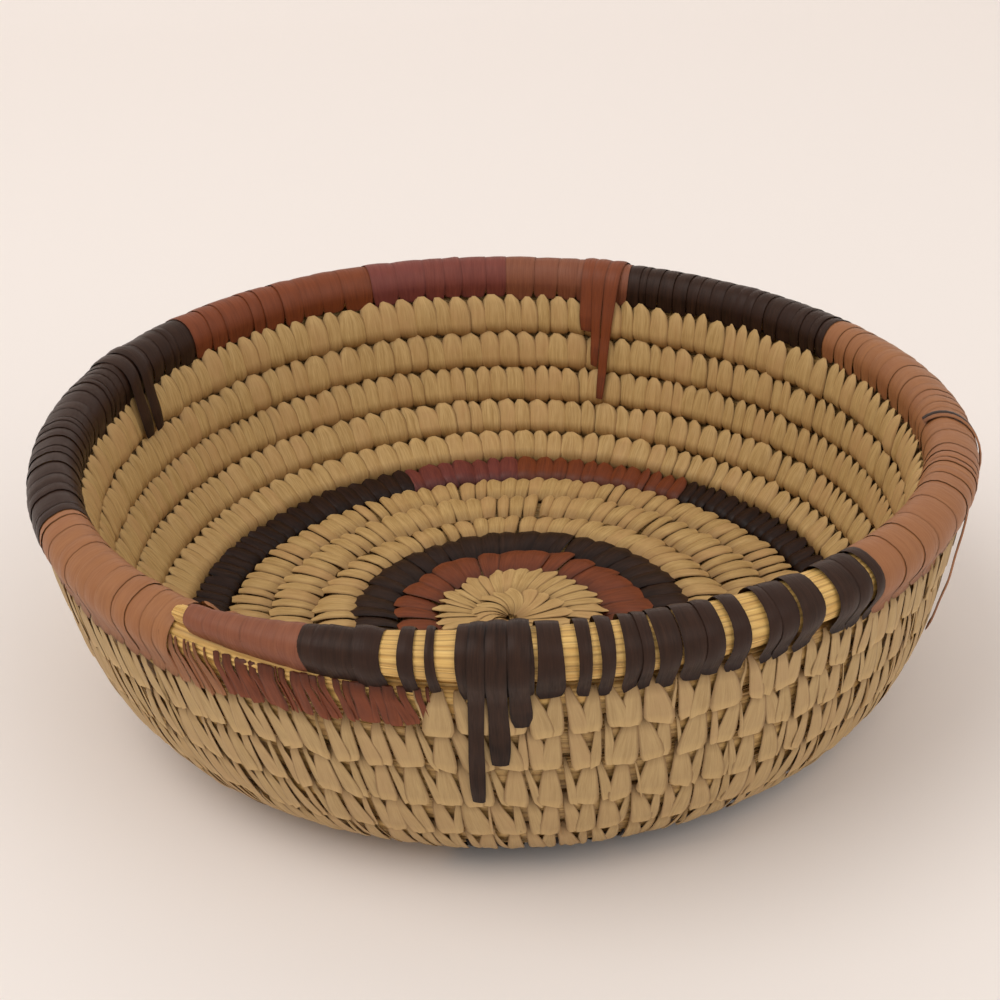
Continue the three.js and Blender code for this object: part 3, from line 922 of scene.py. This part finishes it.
# Wraps round the rim
wrap = {
    "steps": 20,
    "crown": 0.22,
    "leaf": 0.35,
    "round": (150, 300),       # degrees from the top at which they come out inside, and that they go round
    "squareness": (0.9, 0.8),  # powers of the section along the wall and through it: 1 would be an oval
    "endOut": (-0.68, 0.05),   # shares of a course at which they end outside and inside, each with its spread
    "endIn": (-0.50, 0.03),
    "tailIn": 0.12,            # share of the length that runs straight inside
    "tailOut": (0.84, 0.16),   # share from which they run straight outside, and the share that is left
    "waviness": (0.1, 7, 6),   # of the edges: share of the width, speed, and the width in mm that it stops at
    "slant": ([13.84, 13.87, 13.93, 13.97, 14.0, 14.05],   # in mm, by turn: the dark ones at the front slant
              [0, -1.0, -0.9, -0.2, -1.8, -1.8]),          # towards the right as they come down
    "outline": ([0, 0.1, 0.3, 0.8, 0.95, 1], [0.7, 0.95, 1, 1, 0.98, 0.78]),
    "runs": (   # stretches of wraps: first turn, last turn and the number of wraps
        (13.064, 13.164, 15), (13.164, 13.328, 25), (13.328, 13.42, 9), (13.42, 13.48, 6), (13.48, 13.535, 6),
        (13.535, 13.641, 18), (13.641, 13.862, 27), (13.862, 13.866, 1), (13.868, 13.8812, 2),
        (13.8878, 13.895, 1), (13.897, 13.9067, 2), (13.913, 13.918, 1), (13.921, 13.9325, 2),
        (13.934, 13.9396, 1), (13.9412, 13.944, 1), (13.9445, 13.9484, 1), (13.9516, 13.955, 1),
        (13.9579, 13.961, 1), (13.9655, 13.9718, 1), (13.9738, 13.9932, 3), (13.9999, 14.0017, 1),
        (14.0058, 14.0089, 1), (14.0148, 14.038, 4), (14.038, 14.078, 6),
    ),
    "nodes": {   # the turn at which each node's wraps start
        "rim_stitching_tan_left": 13.064, "rim_stitching_dark_left": 13.164, "rim_stitching_rust": 13.328,
        "rim_stitching_maroon": 13.42, "rim_stitching_brown": 13.48, "rim_stitching_dark_back": 13.535,
        "rim_stitching_tan_right": 13.641, "rim_stitching_dark_front_1": 13.862,
        "rim_stitching_dark_front_2": 13.884, "rim_stitching_dark_front_3": 13.911,
        "rim_stitching_dark_front_4": 13.963, "rim_stitching_dark_front_5": 13.996,
        "rim_stitching_brown_end": 14.038,
    },
}


def wrapPlaces():
    # Every wrap of the rim, as its middle in turns and its width in mm, from the runs
    turns, widths = [], []
    for start, end, count in wrap["runs"]:
        parts = np.clip(varied(count, 1, 0.26), 0.45, 1.8)
        edges = start + (end - start) * np.r_[0, np.cumsum(parts)] / parts.sum()
        turns.append((edges[1:] + edges[:-1]) / 2)
        widths.append(np.diff(edges) * 2 * np.pi * radiusAt(turns[-1]))
    return np.concatenate(turns), np.concatenate(widths)


def wraps(turn, width):
    # Strips that go from the inner side of the rim over its top to the outer side, round 300 degrees of a
    # squared oval, and end in a tail that laps over the course below
    n = len(turn)
    s = np.linspace(0, 1, wrap["steps"])
    half = through(turn)[:, None]
    left = worn(turn)[:, None]
    up = coil["halfRim"] * left
    down = (wallPitch / 2 - 0.3) * left
    endOut = (varied(n, *wrap["endOut"]) - 0.16 * smooth(turn, [13.98, 14.02], [0, 1]))[:, None]
    endIn = varied(n, *wrap["endIn"])[:, None]
    phi = np.radians(wrap["round"][0] - wrap["round"][1] * s)
    alongPower, throughPower = wrap["squareness"]
    reach = np.where(np.cos(phi) > 0, up, down)
    share = np.sign(np.cos(phi)) * np.abs(np.cos(phi)) ** alongPower * reach / wallPitch
    height = np.sign(np.sin(phi)) * np.abs(np.sin(phi)) ** throughPower * half
    slide = (left - 1) / 2
    share = share + slide
    tailIn = np.clip((wrap["tailIn"] - s) / wrap["tailIn"], 0, 1)
    tailFrom, tailLength = wrap["tailOut"]
    tailOut = np.clip((s - tailFrom) / tailLength, 0, 1)
    share = share + tailIn * (endIn - share) + tailOut * (endOut - share)
    height = height + tailIn * (0.7 * half - height) + tailOut * (-0.93 * half - height)
    shape = smooth(s, *wrap["outline"])
    amount, speed, most = wrap["waviness"]
    wave = 1 + amount * np.sin(speed * s + 40 * rng.random(n)[:, None]) * (width < most)[:, None]
    halfWidth = (width / 2 + 0.3)[:, None] * shape * wave
    pulled = np.interp(turn, *wrap["slant"])[:, None]
    drift = varied(n, 0, 0.25)[:, None] * (s - 0.5)
    drift = drift + (pulled + varied(n, 0, 0.3)[:, None]) * np.clip(s - 0.4, 0, 1)
    roll = np.clip(varied(n, 0.13, 0.07), 0, 0.3) * nearEdge(turn)
    alongUp = (share - slide) * wallPitch
    size = np.maximum(np.hypot(alongUp, height), 0.1)
    crown = np.broadcast_to(varied(n, wrap["crown"], 0.06)[:, None], share.shape)
    # The last number weakens the painted shade along the wraps' edges
    return roundStrips(turn, drift, halfWidth, share, height, alongUp / size, height / size, crown, roll,
                       wrap["leaf"], rng.random(n), varied(n, 0, 0.04), -1, 0.88)


def roundStrips(turn, drift, halfWidth, share, height, outUp, outHeight, crown, roll, wall, tone, slant,
                turnedOut, edge=1.0):
    # As strips(), but each lens stands along a given direction in the section, its parts up the course and
    # off the wall, instead of on one side of the wall
    across = lens["across"]
    count, steps = share.shape
    place = lensPlaces(turn, drift, halfWidth)
    folds = rng.normal(0, 0.04, (count, 1, len(across))) * lens["creased"]
    bow = (1 - np.abs(across) ** lens["fullness"]) * crown[:, :, None]
    rise = bow + across * roll[:, None, None] + folds - lens["below"] * wall
    s = np.linspace(0, 1, steps)
    cutTurn = s[None, :, None] ** 6 * slant[:, None, None]
    points = skin(place, share[:, :, None] + outUp[:, :, None] * rise / wallPitch + across * cutTurn,
                  height[:, :, None] + outHeight[:, :, None] * rise)
    # Low at both ends, where the strips take painted shade, and 1 over the middle, where they take the
    # painted highlight
    reach = np.minimum(1, np.minimum(s * 5, (1 - s) * 5) + 0.12)
    return stripMesh(points, halfWidth, reach, tone, turnedOut, edge)


def rimNodes():
    # Each node's wraps, and the stitching of its coil where another course of the rim lies on it
    turn, width = wrapPlaces()
    starts = list(wrap["nodes"].values()) + [coil["lastTurn"]]
    for i, node in enumerate(wrap["nodes"]):
        mine = (turn >= starts[i]) & (turn < starts[i + 1])
        covered = coil["lastTurn"] - 1
        parts = []
        if starts[i] < covered:
            parts += [grains(starts[i], covered), legs(starts[i], covered)]
            mine &= turn > covered
        parts.append(wraps(turn[mine], width[mine]))
        slot = slotOf[node]
        finished(meshObject(node + "_leaves", *joined(parts), leafMaterials[slot]), slot, node)


print("rim")
rimNodes()


# Long stitches over the courses
strand = {
    "leaf": 0.4,
    "crown": 0.35,
    "lift": 0.9,     # off the outermost skin of the courses, and off the rim
    "start": -75,    # degrees before the rim's top at which they come from under the wraps
    "dip": 0.12,     # between two courses
    "short": {"right": 0.9, "back": 0.7},      # how far they end above the last course's foot, in courses
    "shortElsewhere": 0.57,
    "backDrifts": {2: -0.5, 3: 1.2, 4: 2.8},   # mm along the coil at the end, by the courses crossed
    "leftDrift": 2,
    "frontDrift": 0.5,                         # for each course past two
    "stacked": {"back": 0.2, "front": 0.22},   # mm that the longer ones lie over the shorter ones
    "along": 35,     # how far the loose ones run along the rim, in mm
    "hang": 1.1,     # and how far they stand off the wall
    "sets": {   # for each strand: turn, courses that it crosses, side, width at the rim and at its end
        "front_long_stitch": ((13.9766, 2, -1, 4.2, 4.1), (13.9824, 3, -1, 4.1, 4.0),
                              (13.9881, 4, -1, 3.4, 3.1)),
        "back_long_stitch": ((13.5174, 2, 1, 4.4, 3.8), (13.5238, 3, 1, 4.5, 2.6),
                             (13.5302, 4, 1, 4.6, 2.6)),
        "left_long_stitch": ((13.286, 2, 1, 5.6, 5.0), (13.2945, 2, 1, 5.2, 4.4)),
        "right_loose_strand": ((13.79, 4, -1, 2.7, 2.0), (13.7925, 4, -1, 2.4, 1.8)),
    },
}


def longStitch(node, turn, courses, side, width, endWidth):
    # A strand that comes over the rim in a round, from the other side, and goes straight down over the
    # courses, with a slight dip between them. The loose ones run along the rim first, and hang off the wall.
    loose = node.startswith("right_loose")
    phi = np.radians(np.linspace(strand["start"], 90, 14))
    short = strand["short"].get(node.split("_")[0], strand["shortElsewhere"])
    down = np.linspace(0, courses - short, 8 * courses)[1:]
    onRim = float(through(turn)) + strand["lift"]
    onWall = coil["halfThrough"] + strand["lift"]
    share = np.r_[np.cos(phi) * (coil["halfRim"] + strand["lift"] - 0.3) / wallPitch, -down]
    lift = np.interp(down, [0, 1], [onRim, onWall]) - strand["dip"] * (1 - np.cos(2 * np.pi * down))
    height = np.r_[np.sin(phi) * onRim, lift]
    outUp = np.r_[np.cos(phi), np.zeros(len(down))]
    outHeight = np.r_[np.sin(phi), np.ones(len(down))]
    s = np.linspace(0, 1, len(share))
    drift = 0.25 * np.sin(s * 5 + rng.random() * 6)
    if loose:
        fall = np.clip((down - 0.2) / (courses - 1.1), 0, 1)
        height[len(phi):] += strand["hang"] * np.sin(np.pi * fall) ** 0.8
        rimPart = smooth(s, [0, 0.15, 0.35, 0.65, 1], [0, 0.1, 0.5, 0.9, 1])
        drift = drift - strand["along"] * (1 - rimPart) + 4 * s ** 2
    if node.startswith("back"):
        drift = drift - strand["backDrifts"][courses] * s
        height = height + strand["stacked"]["back"] * (courses - 2)
    if node.startswith("left"):
        drift = drift - strand["leftDrift"] * s
    if node.startswith("front"):
        drift = drift + strand["frontDrift"] * (courses - 2) * s
        height = height + strand["stacked"]["front"] * (courses - 2)
    widths = [1, 1, 0.4 + 0.6 * endWidth / width, endWidth / width, 0.9 * endWidth / width]
    shape = smooth(s, [0, 0.3, 0.6, 0.96, 1], widths)
    piece = roundStrips(np.array([turn]), drift[None], shape[None] * width / 2, share[None],
                        side * height[None], outUp[None], side * outHeight[None],
                        np.full((1, len(s)), strand["crown"]), np.zeros(1), strand["leaf"], rng.random(1),
                        rng.normal(0, 0.04, 1), side)
    slot = slotOf[node]
    return finished(meshObject(node + "_leaf", *piece, leafMaterials[slot]), slot, node)


def longStitches():
    # Every long stitch and loose strand, each as one piece
    for name, strands in strand["sets"].items():
        for i, (turn, courses, side, width, endWidth) in enumerate(strands):
            longStitch(f"{name}_{i + 1}", turn, courses, side, width, endWidth)


print("long stitches")
longStitches()


# Floor, light and camera
studio = {
    "floor": (243, 235, 230),
    "cameraPlace": (-0.46, -446.63, 275.3),
    "cameraDown": 0.476,         # radians
    "cameraRoll": -0.03,
    "lens": 69.16,
    "sensor": 36,
    "lamps": (   # name, place in metres, size in metres, watts, colour
        ("keyLight", (-1.1, -0.6, 1.9), 1.8, 18, (1, 0.97, 0.94)),
        ("fillLight", (1.2, -1.1, 1.3), 1.8, 8, (1, 0.98, 0.96)),
        ("backLight", (0.3, 0.9, 1.0), 1.2, 0.6, (1, 0.97, 0.94)),
    ),
    "aim": (0, 0, 0.03),
    "skyColour": (1, 0.98, 0.95),
    "skyStrength": 0.64,
}

# The floor sheet, in millimetres
sheet = {
    "halfWidth": 1500,
    "front": -900,
    "level": (-600, 600),   # stretch under the basket
    "curveFrom": 700,
    "curveRadius": 350,
    "top": (1052, 1400),    # how far back and how high it ends
    "below": 0.1,           # under the basket's lowest point
}


def makeFloor():
    # A level sheet that curves up far behind the basket
    bend = np.linspace(0, np.pi / 2, 12)
    y = np.r_[sheet["front"], sheet["level"], sheet["curveFrom"] + sheet["curveRadius"] * np.sin(bend),
              sheet["top"][0]]
    z = -sheet["below"] + np.r_[0, 0, 0, sheet["curveRadius"] * (1 - np.cos(bend)), sheet["top"][1]]
    x = np.array([-sheet["halfWidth"], sheet["halfWidth"]])
    points = np.stack([np.broadcast_to(x[:, None], (2, len(y))), np.broadcast_to(y, (2, len(y))),
                       np.broadcast_to(z, (2, len(y)))], -1).reshape(-1, 3)
    i = np.arange(len(y) - 1)
    quads = np.stack([i, i + len(y), i + len(y) + 1, i + 1], -1)
    mesh = bpy.data.meshes.new("floor")
    mesh.from_pydata((points * mm).tolist(), [], quads.tolist())
    mesh.shade_smooth()
    material = bpy.data.materials.new("paleSheet")
    material.use_nodes = True
    shader = material.node_tree.nodes["Principled BSDF"]
    shader.inputs["Base Color"].default_value = (*srgb(*studio["floor"]), 1)
    shader.inputs["Roughness"].default_value = 0.9
    mesh.materials.append(material)
    floor = bpy.data.objects.new("floor", mesh)
    bpy.context.scene.collection.objects.link(floor)


def areaLight(name, place, size, power, colour):
    # A round lamp that faces the basket
    data = bpy.data.lights.new(name, "AREA")
    data.shape = "DISK"
    data.size = size
    data.energy = power
    data.color = colour
    lamp = bpy.data.objects.new(name, data)
    lamp.location = place
    lamp.rotation_euler = (Vector(studio["aim"]) - Vector(place)).to_track_quat("-Z", "Y").to_euler()
    bpy.context.scene.collection.objects.link(lamp)


def makeCamera():
    # Looks down at the basket from the front, and is rolled a little about its own line of sight
    data = bpy.data.cameras.new("camera")
    data.sensor_width = studio["sensor"]
    data.lens = studio["lens"]
    data.clip_start = 0.01
    data.clip_end = 20
    camera = bpy.data.objects.new("camera", data)
    down, roll = studio["cameraDown"], studio["cameraRoll"]
    forward = Vector((0, np.cos(down), -np.sin(down)))
    level = Vector((1, 0, 0))
    upright = level.cross(forward)
    right = level * np.cos(roll) + upright * np.sin(roll)
    up = upright * np.cos(roll) - level * np.sin(roll)
    camera.matrix_world = Matrix((
        (right.x, up.x, -forward.x, studio["cameraPlace"][0] * mm),
        (right.y, up.y, -forward.y, studio["cameraPlace"][1] * mm),
        (right.z, up.z, -forward.z, studio["cameraPlace"][2] * mm),
        (0, 0, 0, 1)))
    bpy.context.scene.collection.objects.link(camera)
    bpy.context.scene.camera = camera


print("floor, light and camera")
makeFloor()
for lamp in studio["lamps"]:
    areaLight(*lamp)
makeCamera()

scene = bpy.context.scene
world = bpy.data.worlds.new("world")
world.use_nodes = True
sky = world.node_tree.nodes["Background"]
sky.inputs["Color"].default_value = (*studio["skyColour"], 1)
sky.inputs["Strength"].default_value = studio["skyStrength"]
scene.world = world
scene.view_settings.view_transform = "Standard"

triangles = [len(piece.data.loops) - 2 * len(piece.data.polygons) for piece in pieces]
print("triangles", sum(triangles), "most", max(triangles))
